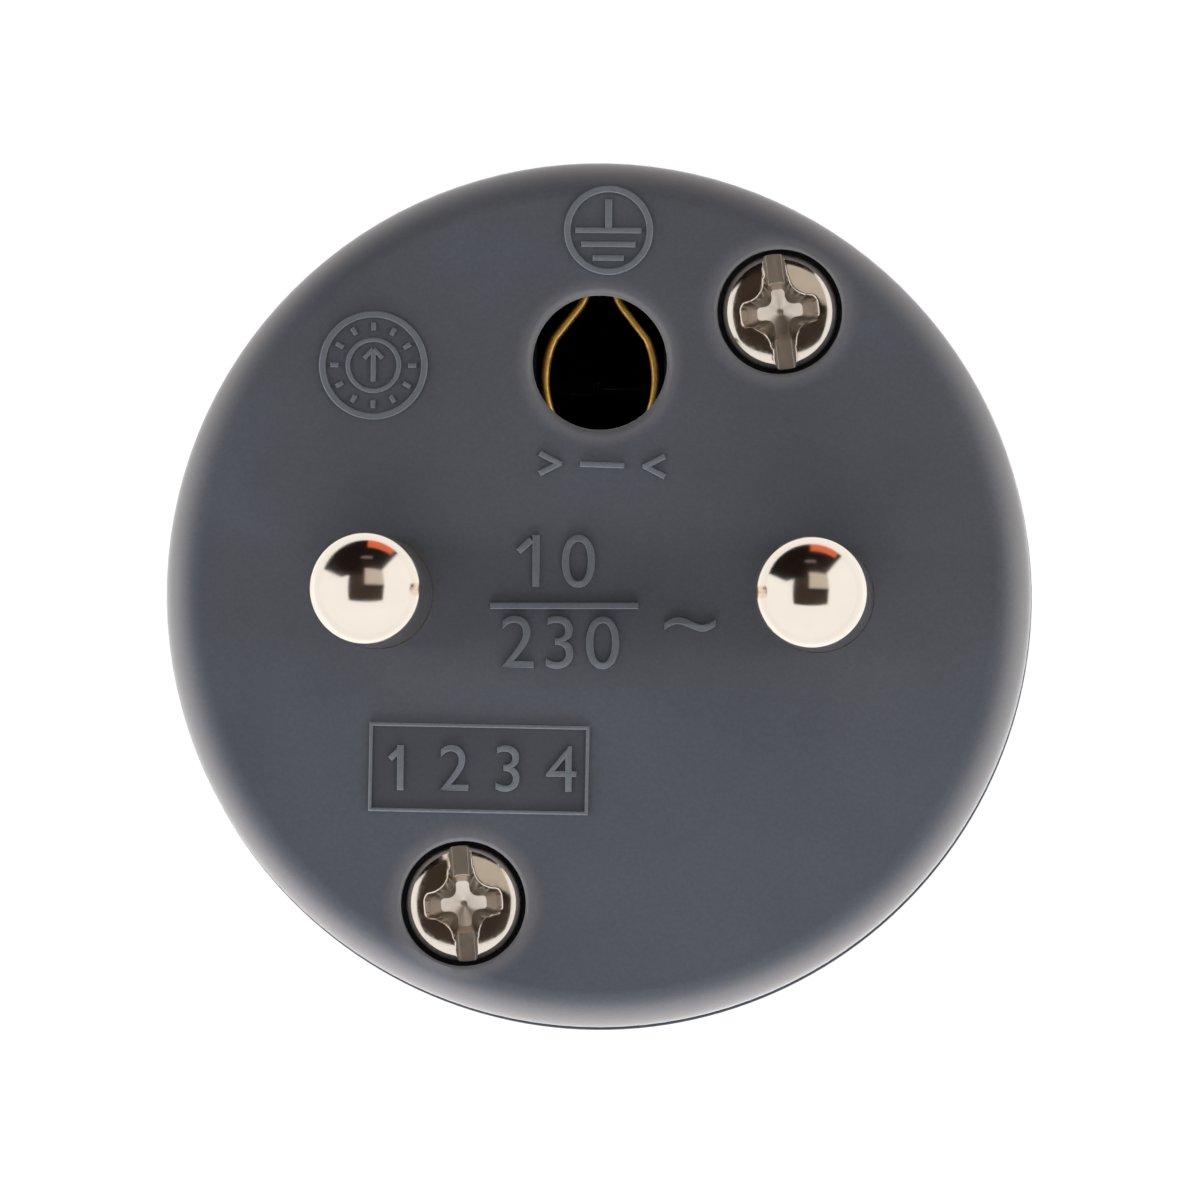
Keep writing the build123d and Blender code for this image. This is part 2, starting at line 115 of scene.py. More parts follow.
class PlugColours(bpy.types.PropertyGroup):
    """Colours of the finishes."""

    housing: colour("Housing", "#3E4148", "Polypropylene of the two mouldings")
    marks: colour("Marks", "#54585E", "Polypropylene of the raised marks")
    nickel: colour("Nickel", "#F6EBDF", "Bright nickel on the pins")
    steel: colour("Plated steel", "#EADFD3", "Nickel on the screws")
    brass: colour("Brass", "#F5C36A", "Strip brass of the earth contact")
    clamp: colour("Clamp", "#1C1C1E", "Polyamide of the cord clamp")
    floor: colour("Floor", "#F4F4F4", "Floor under the plug")


def begin():
    """Object mode with nothing selected."""
    if bpy.context.mode != "OBJECT":
        bpy.ops.object.mode_set(mode="OBJECT")
    bpy.ops.object.select_all(action="DESELECT")


def choose(*pieces):
    """Select only these pieces, the last one active."""
    begin()
    for piece in pieces:
        piece.select_set(True)
    bpy.context.view_layer.objects.active = pieces[-1]


def settle(name):
    """Name the active piece and put its place into its mesh."""
    piece = bpy.context.object
    piece.name = piece.data.name = name
    choose(piece)
    bpy.ops.object.transform_apply(location=True, rotation=True, scale=True)
    return piece


def lay(piece, place, turn, axis):
    """Turn a piece about an axis through the origin, move it, and put that into its mesh."""
    piece.matrix_world = Matrix.Translation(place) @ Matrix.Rotation(turn, 4, axis)
    choose(piece)
    return settle(piece.name)


def edit(piece, action="DESELECT"):
    """Edit mode on this piece with nothing selected, or everything."""
    choose(piece)
    bpy.ops.object.mode_set(mode="EDIT")
    bpy.ops.mesh.select_all(action=action)


def middle(item):
    """Middle of a vertex, an edge or a face."""
    if isinstance(item, bmesh.types.BMVert):
        return item.co
    return sum((v.co for v in item.verts), Vector()) / len(item.verts)


def rise(edge):
    """How far an edge runs upwards."""
    return abs(edge.verts[0].co.z - edge.verts[1].co.z)


def pick(kind, test):
    """Select the vertices, edges or faces that pass the test; raise an error if none does."""
    bpy.ops.mesh.select_mode(type=kind)
    bpy.ops.mesh.select_all(action="DESELECT")
    mesh = bmesh.from_edit_mesh(bpy.context.object.data)
    items = {"VERT": mesh.verts, "EDGE": mesh.edges, "FACE": mesh.faces}[kind]
    chosen = [item for item in items if test(item)]
    if not chosen:
        raise RuntimeError(f"nothing to select on {bpy.context.object.name}")
    for item in chosen:
        item.select_set(True)
    mesh.select_flush_mode()
    bmesh.update_edit_mesh(bpy.context.object.data)


def weld(gap):
    """Merge all vertices that are closer than a gap."""
    bpy.ops.mesh.select_all(action="SELECT")
    bpy.ops.mesh.remove_doubles(threshold=gap)


def face_outwards():
    """Turn all faces outwards."""
    bpy.ops.mesh.select_all(action="SELECT")
    bpy.ops.mesh.normals_make_consistent(inside=False)


def resize(x, y, about):
    """Resize what is selected across the axis, about a place."""
    bpy.ops.transform.resize(value=(x, y, 1), center_override=about)


def close(piece):
    """Merge doubles, fill open rings, turn faces outwards and check that the mesh is closed."""
    edit(piece)
    bpy.ops.mesh.select_mode(type="EDGE")
    weld(0.0002 * MM)
    bpy.ops.mesh.select_all(action="DESELECT")
    bpy.ops.mesh.select_non_manifold()
    bpy.ops.mesh.edge_face_add()
    face_outwards()
    begin()
    mesh = bmesh.new()
    mesh.from_mesh(piece.data)
    open_edges = sum(1 for e in mesh.edges if not e.is_manifold)
    mesh.free()
    if open_edges:
        raise RuntimeError(f"{piece.name} has {open_edges} open edges")
    return piece


def circle(name, steps, radius, place, fill="NOTHING"):
    """A ring of edges or a disc, in edit mode with everything selected."""
    begin()
    bpy.ops.mesh.primitive_circle_add(
        vertices=steps, radius=radius, fill_type=fill, location=place)
    piece = settle(name)
    edit(piece, "SELECT")
    return piece


def turned(name, levels, steps, place=(0.0, 0.0)):
    """A turned piece: a disc drawn up ring by ring through (height, radius) levels."""
    x, y = place
    height, radius = levels[0]
    piece = circle(name, steps, radius, (x, y, height), "NGON")
    for z, r in levels[1:]:
        bpy.ops.mesh.extrude_region_move(TRANSFORM_OT_translate={"value": (0, 0, z - height)})
        share = max(r, TINY) / radius
        resize(share, share, (x, y, z))
        height, radius = z, max(r, TINY)
    if radius <= TINY:
        bpy.ops.mesh.merge(type="CENTER")
    return close(piece)


def rod(name, low, high, radius, steps, place=(0.0, 0.0)):
    """A plain upright rod, as a cutter or a start for other shapes."""
    return turned(name, [(low, radius), (high, radius)], steps, place)


def block(name, low, high):
    """A block between two corners, as a start for other shapes."""
    begin()
    low, high = Vector(low), Vector(high)
    bpy.ops.mesh.primitive_cube_add(size=1, location=(low + high) / 2, scale=high - low)
    return settle(name)


def draw_edges(*step):
    """Extrude the selected edges by a step."""
    bpy.ops.mesh.extrude_edges_move(TRANSFORM_OT_translate={"value": step})


def apply(piece, kind, **settings):
    """Add a modifier and apply it."""
    choose(piece)
    modifier = piece.modifiers.new(kind.title(), kind)
    for key, value in settings.items():
        setattr(modifier, key, value)
    bpy.ops.object.modifier_apply(modifier=modifier.name)


def cut(piece, *cutters, operation="DIFFERENCE"):
    """Cut the cutters out of a piece, or weld them to it, and remove them."""
    for cutter in cutters:
        apply(piece, "BOOLEAN", object=cutter, operation=operation, solver="EXACT")
        bpy.data.objects.remove(cutter)


def smooth(piece, angle=30, weighted=True):
    """Smooth shading that keeps the sharp edges, as a rule weighted by the size of the faces."""
    choose(piece)
    bpy.ops.object.shade_smooth_by_angle(angle=radians(angle))
    if weighted:
        apply(piece, "WEIGHTED_NORMAL", keep_sharp=True)


def ready(piece, material, slot, *nodes):
    """Give a finished piece its material and its body, and hide the CAD nodes that it stands for.
    """
    piece.data.materials.clear()
    piece.data.materials.append(material)
    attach(piece, "root")
    if nodes:
        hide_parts(*nodes)


def copy_of(piece, name, move=(0, 0, 0), turn=0.0, about=(0, 0, 0)):
    """A copy of a piece with its own mesh, turned about an upright axis and then moved."""
    choose(piece)
    bpy.ops.object.duplicate(linked=False)
    twin = bpy.context.object
    twin.name = twin.data.name = name
    twin.matrix_world = (Matrix.Translation(Vector(move) + Vector(about))
                         @ Matrix.Rotation(turn, 4, "Z") @ Matrix.Translation(-Vector(about)))
    return settle(name)


def dressed_copy(node_name, name):
    """A merged copy of a CAD node's mesh."""
    begin()
    piece = bpy.data.objects.new(name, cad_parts[node_name].data.copy())
    bpy.context.scene.collection.objects.link(piece)
    choose(piece)
    bpy.ops.mesh.customdata_custom_splitnormals_clear()
    edit(piece)
    weld(0.0005 * MM)
    begin()
    return piece


def blank(name):
    """A material of that name with an empty node tree."""
    made = bpy.data.materials.new(name)
    made.use_nodes = True
    made.node_tree.nodes.clear()
    return made


def node(tree, kind, inputs=None, **settings):
    """Add a node with its settings; an input is a value, an output, or a node's first output."""
    made = tree.nodes.new(kind)
    for key, value in settings.items():
        setattr(made, key, value)
    for key, value in (inputs or {}).items():
        if isinstance(value, bpy.types.Node):
            value = value.outputs[0]
        if isinstance(value, bpy.types.NodeSocket):
            tree.links.new(value, made.inputs[key])
        else:
            made.inputs[key].default_value = value
    return made


def shade(colour, factor):
    """A colour made lighter or darker."""
    return [min(1.0, c * factor) for c in colour[:3]] + [1.0]


def seat_of(node_name):
    """Place of a housing screw on the face."""
    low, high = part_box(node_name)
    return (low.x + high.x) / 2, (low.y + high.y) / 2, FACE_Z


def textured_polypropylene(name, colour, roughness, grain_depth, painted_highlight_and_gloss=1.0):
    # Injection-moulded polypropylene from a spark-eroded tool: a dull dark grey with a fine even
    # grain and faint clouds of colour, with a painted highlight that makes the rounded rim and the
    # mouths of the holes paler
    made = blank(name)
    tree = made.node_tree
    place = node(tree, "ShaderNodeTexCoord").outputs["Object"]
    # Grain of the eroded tool, about 0.05 mm, drawn three times coarser so that it shows
    grain = node(tree, "ShaderNodeTexNoise", {
        "Vector": place, "Scale": 1 / (0.15 * MM), "Detail": 2.0, "Roughness": 0.6})
    # Clouds of about 7 mm from the flow of the melt
    clouds = node(tree, "ShaderNodeTexNoise", {
        "Vector": place, "Scale": 1 / (7 * MM), "Detail": 3.0, "Roughness": 0.55})
    tone = node(tree, "ShaderNodeMix", {
        SHARE: clouds, TINT_1: shade(colour, 0.86), TINT_2: shade(colour, 1.14)}, data_type="RGBA")
    specks = node(tree, "ShaderNodeMapRange", {
        VALUE: grain, LOW: 0.35, HIGH: 0.75, TO_LOW: 0.92, TO_HIGH: 1.1})
    speckled = node(tree, "ShaderNodeVectorMath", {
        0: tone.outputs[BLEND], 1: specks}, operation="MULTIPLY")
    # Painted highlight: the rounded rim, from just outside the flat of the face, is drawn paler
    # where light catches it
    flat = node(tree, "ShaderNodeVectorMath", {0: place, 1: (1.0, 1.0, 0.0)}, operation="MULTIPLY")
    reach = node(tree, "ShaderNodeVectorMath", {0: flat}, operation="LENGTH")
    outer = node(tree, "ShaderNodeMapRange", {
        VALUE: reach.outputs["Value"], LOW: FLAT_R + 0.3 * MM, HIGH: BODY_R,
        TO_LOW: 0.0, TO_HIGH: 0.14 * painted_highlight_and_gloss}, interpolation_type="SMOOTHSTEP")
    height = node(tree, "ShaderNodeSeparateXYZ", {"Vector": place})
    upper = node(tree, "ShaderNodeMapRange", {
        VALUE: height.outputs["Z"], LOW: FACE_Z - 4.0 * MM, HIGH: FACE_Z - 1.5 * MM},
        interpolation_type="SMOOTHSTEP")
    painted_light = node(tree, "ShaderNodeMath", {0: outer, 1: upper}, operation="MULTIPLY")
    # Painted highlight: the same paler colour in rings round the mouths of the earth hole and the
    # screw seats
    for centre, radius, share in (((0.0, EARTH_Y, FACE_Z), EARTH_R, 0.065),
                                  (seat_of("upper_assembly_screw"), SEAT_R, 0.06),
                                  (seat_of("lower_assembly_screw"), SEAT_R, 0.06)):
        away = node(tree, "ShaderNodeVectorMath", {0: place, 1: centre}, operation="DISTANCE")
        mouth = node(tree, "ShaderNodeMapRange", {
            VALUE: away.outputs["Value"], LOW: radius, HIGH: radius + 0.9 * MM,
            TO_LOW: share * painted_highlight_and_gloss, TO_HIGH: 0.0}, interpolation_type="SMOOTHSTEP")
        painted_light = node(tree, "ShaderNodeMath", {0: painted_light, 1: mouth}, operation="MAXIMUM")
    # Painted highlight: the colour is mixed towards this pale grey by that share
    pale = node(tree, "ShaderNodeMix", {
        SHARE: painted_light, TINT_1: speckled, TINT_2: linear("#DACDC5")}, data_type="RGBA")
    polish = node(tree, "ShaderNodeMapRange", {
        VALUE: clouds, LOW: 0.3, HIGH: 0.7, TO_LOW: roughness - 0.04, TO_HIGH: roughness + 0.04})
    dents = node(tree, "ShaderNodeBump", {
        "Height": grain, "Strength": 0.5, "Distance": grain_depth})
    shader = node(tree, "ShaderNodeBsdfPrincipled", {
        "Base Color": pale.outputs[BLEND], "Roughness": polish, "IOR": 1.49,
        "Specular IOR Level": 0.5 if painted_highlight_and_gloss else 0.05, "Sheen Weight": 0.3 * painted_highlight_and_gloss,
        "Sheen Roughness": 0.35, "Normal": dents})
    node(tree, "ShaderNodeOutputMaterial", {"Surface": shader})
    return made


def bright_nickel(colour):
    # Bright nickel over turned brass: a warm mirror with a trace of the turning marks
    made = blank("bright_nickel_on_brass")
    tree = made.node_tree
    place = node(tree, "ShaderNodeTexCoord").outputs["Object"]
    # Turning marks about 0.06 mm apart along the pin
    flat = node(tree, "ShaderNodeMapping", {"Vector": place, "Scale": (0.02, 0.02, 1.0)})
    marks = node(tree, "ShaderNodeTexNoise", {
        "Vector": flat, "Scale": 1 / (0.06 * MM), "Detail": 1.0})
    # Haze in patches of about 1.5 mm
    haze = node(tree, "ShaderNodeTexNoise", {
        "Vector": place, "Scale": 1 / (1.5 * MM), "Detail": 3.0})
    polish = node(tree, "ShaderNodeMapRange", {
        VALUE: haze, LOW: 0.3, HIGH: 0.75, TO_LOW: 0.1, TO_HIGH: 0.18})
    tone = node(tree, "ShaderNodeMix", {
        SHARE: haze, TINT_1: shade(colour, 0.95), TINT_2: shade(colour, 1.04)}, data_type="RGBA")
    lines = node(tree, "ShaderNodeBump", {
        "Height": marks, "Strength": 0.03, "Distance": 0.002 * MM})
    shader = node(tree, "ShaderNodeBsdfPrincipled", {
        "Base Color": tone.outputs[BLEND], "Metallic": 1.0, "Roughness": polish, "Normal": lines})
    node(tree, "ShaderNodeOutputMaterial", {"Surface": shader})
    return made


def plated_steel(name, colour, roughness):
    # Barrel-plated steel over a pressed head: a shine with faint stains, tumbled edges and painted
    # shade on its steep faces
    made = blank(name)
    tree = made.node_tree
    place = node(tree, "ShaderNodeTexCoord").outputs["Object"]
    # Tumbling marks of about 0.2 mm
    tumble = node(tree, "ShaderNodeTexNoise", {
        "Vector": place, "Scale": 1 / (0.2 * MM), "Detail": 3.0, "Roughness": 0.6})
    # Stains of about 1.1 mm
    stains = node(tree, "ShaderNodeTexNoise", {
        "Vector": place, "Scale": 1 / (1.1 * MM), "Detail": 2.0})
    tone = node(tree, "ShaderNodeMix", {
        SHARE: stains, TINT_1: shade(colour, 0.88), TINT_2: shade(colour, 1.08)}, data_type="RGBA")
    polish = node(tree, "ShaderNodeMapRange", {
        VALUE: tumble, LOW: 0.3, HIGH: 0.75, TO_LOW: roughness, TO_HIGH: roughness + 0.1})
    # Tumbling does not reach the floors of the slot and the cross, so they stay duller
    height = node(tree, "ShaderNodeSeparateXYZ", {"Vector": place})
    sunk = node(tree, "ShaderNodeMapRange", {
        VALUE: height.outputs["Z"], LOW: SCREW_TOP_Z - 0.6 * MM, HIGH: SCREW_TOP_Z - 0.3 * MM,
        TO_LOW: 0.22, TO_HIGH: 0.0})
    gloss = node(tree, "ShaderNodeMath", {0: polish, 1: sunk}, operation="ADD")
    # Edges tumbled round, about 0.05 mm
    edges = node(tree, "ShaderNodeBevel", {"Radius": 0.05 * MM}, samples=8)
    # Painted shade: the steep walls of the recess, and every other steep face, are darkened to
    # 0.35 of the colour
    lean = node(tree, "ShaderNodeSeparateXYZ", {"Vector": edges})
    steep_face_painted_shade = node(tree, "ShaderNodeMapRange", {
        VALUE: lean.outputs["Z"], LOW: 0.3, HIGH: 0.62, TO_LOW: 0.35, TO_HIGH: 1.0})
    tone_with_painted_shade = node(tree, "ShaderNodeVectorMath", {
        0: tone.outputs[BLEND], 1: steep_face_painted_shade}, operation="MULTIPLY")
    dents = node(tree, "ShaderNodeBump", {
        "Height": tumble, "Strength": 0.05, "Distance": 0.004 * MM, "Normal": edges})
    shader = node(tree, "ShaderNodeBsdfPrincipled", {
        "Base Color": tone_with_painted_shade, "Metallic": 1.0, "Roughness": gloss, "Normal": dents})
    node(tree, "ShaderNodeOutputMaterial", {"Surface": shader})
    return made


def strip_brass(colour):
    # Rolled brass strip, blanked and bent: gold with brown tarnish, fine rolling lines and painted
    # shade that darkens it with depth
    made = blank("rolled_brass_strip")
    tree = made.node_tree
    place = node(tree, "ShaderNodeTexCoord").outputs["Object"]
    flat = node(tree, "ShaderNodeMapping", {"Vector": place, "Scale": (1.0, 1.0, 0.05)})
    # Rolling lines about 0.1 mm apart
    lines = node(tree, "ShaderNodeTexNoise", {
        "Vector": flat, "Scale": 1 / (0.1 * MM), "Detail": 2.0})
    # Tarnish in patches of about 0.5 mm
    tarnish = node(tree, "ShaderNodeTexNoise", {
        "Vector": place, "Scale": 1 / (0.5 * MM), "Detail": 4.0, "Roughness": 0.6})
    stain = node(tree, "ShaderNodeMapRange", {
        VALUE: tarnish, LOW: 0.42, HIGH: 0.62, TO_LOW: 0.0, TO_HIGH: 1.0})
    tone = node(tree, "ShaderNodeMix", {
        SHARE: stain, TINT_1: shade(colour, 1.05), TINT_2: shade(colour, 0.75)}, data_type="RGBA")
    # Painted shade: the colour darkens with depth below the face to nearly black, and only the
    # front edge keeps its full gold
    dark_z, bright_z = FACE_Z - 2.6 * MM, FACE_Z - 1.3 * MM
    height = node(tree, "ShaderNodeSeparateXYZ", {"Vector": place})
    painted_light = node(tree, "ShaderNodeMapRange", {
        VALUE: height.outputs["Z"], LOW: dark_z, HIGH: bright_z, TO_LOW: 0.03, TO_HIGH: 1.0})
    tone_with_painted_shade = node(tree, "ShaderNodeVectorMath", {
        0: tone.outputs[BLEND], 1: painted_light}, operation="MULTIPLY")
    polish = node(tree, "ShaderNodeMapRange", {
        VALUE: tarnish, LOW: 0.3, HIGH: 0.7, TO_LOW: 0.36, TO_HIGH: 0.52})
    dull = node(tree, "ShaderNodeMapRange", {
        VALUE: height.outputs["Z"], LOW: dark_z, HIGH: bright_z, TO_LOW: 0.5, TO_HIGH: 0.0})
    gloss = node(tree, "ShaderNodeMath", {0: polish, 1: dull}, operation="ADD")
    dents = node(tree, "ShaderNodeBump", {
        "Height": lines, "Strength": 0.15, "Distance": 0.005 * MM})
    shader = node(tree, "ShaderNodeBsdfPrincipled", {
        "Base Color": tone_with_painted_shade, "Metallic": 1.0, "Roughness": gloss, "Normal": dents})
    node(tree, "ShaderNodeOutputMaterial", {"Surface": shader})
    return made


def finish_named(name):
    """One of the plug's finishes, made at its first use."""
    if name in bpy.data.materials:
        return bpy.data.materials[name]
    colours = bpy.context.scene.plug_colours
    # Colour, roughness, depth of the grain, and a zero for the unseen ones: no painted highlight,
    # no sheen and little gloss
    plastics = {
        "textured_polypropylene": (colours.housing, 0.47, 0.012 * MM),
        # Painted shade: the inner faces, in the housing colour darkened to 0.12
        "polypropylene_in_painted_shade": (shade(colours.housing, 0.12), 0.8, 0.01 * MM, 0.0),
        "smooth_polypropylene": (colours.marks, 0.38, 0.004 * MM),
        "polished_polypropylene": (shade(colours.housing, 0.74), 0.42, 0.003 * MM),
        "moulded_polyamide": (colours.clamp, 0.42, 0.006 * MM, 0.0),
    }
    steels = {
        "nickel_plated_steel": (colours.steel, 0.08),
        # Painted shade: the steel parts inside the housing, darkened to 0.06 of the plated colour
        "zinc_plated_steel_in_painted_shade": (shade(colours.steel, 0.06), 0.6),
    }
    if name in plastics:
        return textured_polypropylene(name, *plastics[name])
    if name in steels:
        return plated_steel(name, *steels[name])
    if name == "bright_nickel_on_brass":
        return bright_nickel(colours.nickel)
    return strip_brass(colours.brass)


class PLUG_OT_housing(bpy.types.Operator):
    """Front and rear mouldings of the housing."""

    bl_idname = "plug.housing"
    bl_label = "Housing"

    def inside(self, face):
        """Whether a face of a moulding looks into the closed housing."""
        place = middle(face)
        outwards = Vector((place.x, place.y, 0))
        off_hole = (outwards - Vector((0, EARTH_Y, 0))).length
        front = bpy.context.object.name == "front_housing"
        # The wall of the earth hole, below its mouth, which gets painted shade like the other
        # inner faces
        if front and off_hole < 3 * MM and place.z < FACE_Z - 0.36 * MM:
            return True
        # The plate of the face and the outer shell
        if place.z > FACE_Z - 2.1 * MM or outwards.length > 17 * MM:
            return False
        return (front or face.normal.dot(outwards) < 0
                or (face.normal.z > 0.5 and outwards.length < 15 * MM))

    def draw_in_rim(self, front):
        """Draw the rounded rim in by 0.13 mm at its widest, ring by ring."""
        most, apart = 0.13 * MM, 0.008 * MM
        on_rim = lambda v: v.co.z > FACE_Z - 4.3 * MM and v.co.xy.length > FLAT_R + 0.2 * MM
        edit(front)
        mesh = bmesh.from_edit_mesh(front.data)
        rings = []
        for r in sorted(v.co.xy.length for v in mesh.verts if on_rim(v)):
            if not rings or r - rings[-1] > apart:
                rings.append(r)
        for r in rings:
            pick("VERT", lambda v: on_rim(v) and -TINY < v.co.xy.length - r < apart)
            share = 1 - most * (r - FLAT_R) / (BODY_R - FLAT_R) / r
            resize(share, share, (0, 0, FACE_Z))
        begin()

    def execute(self, context):
        front = dressed_copy("front_base", "front_housing")
        self.draw_in_rim(front)
        # Round the mouths of the two screw seats
        e = context.scene.plug_sizes.mouth_radius
        levels = [(FACE_Z - 2 * e, SEAT_R - 0.03 * MM)]
        for i in range(9):
            t = i * pi / 16
            levels.append((FACE_Z - e + e * sin(t), SEAT_R + e - 0.015 * MM - e * cos(t)))
        levels.append((FACE_Z + e, levels[-1][1]))
        for node_name in ("upper_assembly_screw", "lower_assembly_screw"):
            cut(front, turned("mouth", levels, 96, seat_of(node_name)[:2]))
        # A thin lip of the face closes on each pin
        lip_r, bore_r, reach = 2.8 * MM, 2.43 * MM, 0.5 * MM
        for x in (-PIN_X, PIN_X):
            lip = rod("lip", FACE_Z - 0.09 * MM, FACE_Z, lip_r, 96, (x, 0))
            cut(lip, rod("bore", FACE_Z - reach, FACE_Z + reach, bore_r, 96, (x, 0)))
            cut(front, lip, operation="UNION")
        rear = dressed_copy("rear_cover", "rear_housing")
        # The rear moulding sits a little low, so that its edge shows past the rim below
        top, r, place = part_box("rear_cover")[1].z - 0.02 * MM, 18.64 * MM, (0, -0.1 * MM)
        edge = turned("edge", [(top - 0.7 * MM, r - 0.3 * MM), (top - 0.4 * MM, r),
                               (top - 0.05 * MM, r), (top, r - 0.03 * MM)], 192, place)
        cut(edge, rod("bore", top - 1 * MM, top + 1 * MM, 17.5 * MM, 96))
        cut(rear, edge, operation="UNION")
        # The cuts leave slivers in the flat faces
        for piece in (front, rear):
            edit(piece, "SELECT")
            bpy.ops.mesh.quads_convert_to_tris()
            bpy.ops.mesh.dissolve_degenerate(threshold=0.002 * MM)
            close(piece)
        smooth(front)
        smooth(rear, 14, weighted=False)
        for piece, node_name in ((front, "front_base"), (rear, "rear_cover")):
            ready(piece, finish_named("textured_polypropylene"), "housing_plastic", node_name)
            # The faces that look into the housing get painted shade: a second material, the
            # housing colour darkened to 0.12, with no sheen and little gloss
            piece.data.materials.append(finish_named("polypropylene_in_painted_shade"))
            edit(piece)
            pick("FACE", self.inside)
            piece.active_material_index = 1
            bpy.ops.object.material_slot_assign()
            begin()
        return {"FINISHED"}


class PLUG_OT_pins(bpy.types.Operator):
    """Two turned contact pins with their terminal heads."""

    bl_idname = "plug.pins"
    bl_label = "Contact pins"

    def execute(self, context):
        sizes = context.scene.plug_sizes
        r = sizes.pin_diameter / 2
        cap, edge = sizes.tip_radius, sizes.tip_edge
        edge_x = r - edge
        edge_rise = sqrt((cap - edge) ** 2 - edge_x ** 2)
        cap_z = PIN_TIP_Z - 0.001 * MM - cap
        edge_z, turn = cap_z + edge_rise, atan2(edge_rise, edge_x)
        root, foot = sizes.pin_root / 2, FACE_Z - 0.1 * MM
        head_top, half, collar = HEAD_END_Z + 8 * MM, 3.5 * MM, 3.3 * MM
        seat = head_top + 1.2 * MM
        x = -PIN_X
        # Terminal head: a square block with broken edges
        head = block("left_contact_pin", (x - half, -half, HEAD_END_Z), (x + half, half, head_top))
        edit(head)
        pick("EDGE", lambda e: rise(e) > 1 * MM)
        bpy.ops.mesh.bevel(offset=0.5 * MM, segments=3)
        pick("EDGE", lambda e: rise(e) < PLAY)
        bpy.ops.mesh.bevel(offset=0.15 * MM, segments=2)
        # Collar, root, shank and round tip turned on it
        levels = [(head_top - 0.5 * MM, collar), (seat - 0.1 * MM, collar),
                  (seat, collar - 0.1 * MM), (seat, root), (foot - 0.04 * MM, root),
                  (foot, root - 0.04 * MM), (foot, r)]
        levels += [(foot + (edge_z - foot) * i / 6, r) for i in range(1, 7)]
        levels += [(edge_z + edge * sin(turn * i / 8), edge_x + edge * cos(turn * i / 8))
                   for i in range(1, 9)]
        for i in range(1, 25):
            t = turn + (pi / 2 - turn) * i / 24
            levels.append((cap_z + cap * sin(t), cap * cos(t) if i < 24 else 0.0))
        cut(head, turned("shank", levels, 128, (x, 0.0)), operation="UNION")
        # Blind hole for the wire with a drill point, and the screw hole from the side
        hole = 1.6 * MM
        drill = turned("drill", [
            (HEAD_END_Z - 1 * MM, hole), (HEAD_END_Z + 6.5 * MM, hole),
            (HEAD_END_Z + 7.2 * MM, 0.0)], 48, (x, 0.0))
        tap = rod("tap", 0.0, 8 * MM, 1.52 * MM, 48)
        cut(head, drill, lay(tap, (x, 0, HEAD_END_Z + 2.6 * MM), pi / 2, "X"))
        smooth(head, 25)
        nickel = finish_named("bright_nickel_on_brass")
        twin = copy_of(head, "right_contact_pin", (2 * PIN_X, 0, 0))
        ready(head, nickel, "plated_pin", "left_pin")
        ready(twin, nickel, "plated_pin", "right_pin")
        return {"FINISHED"}


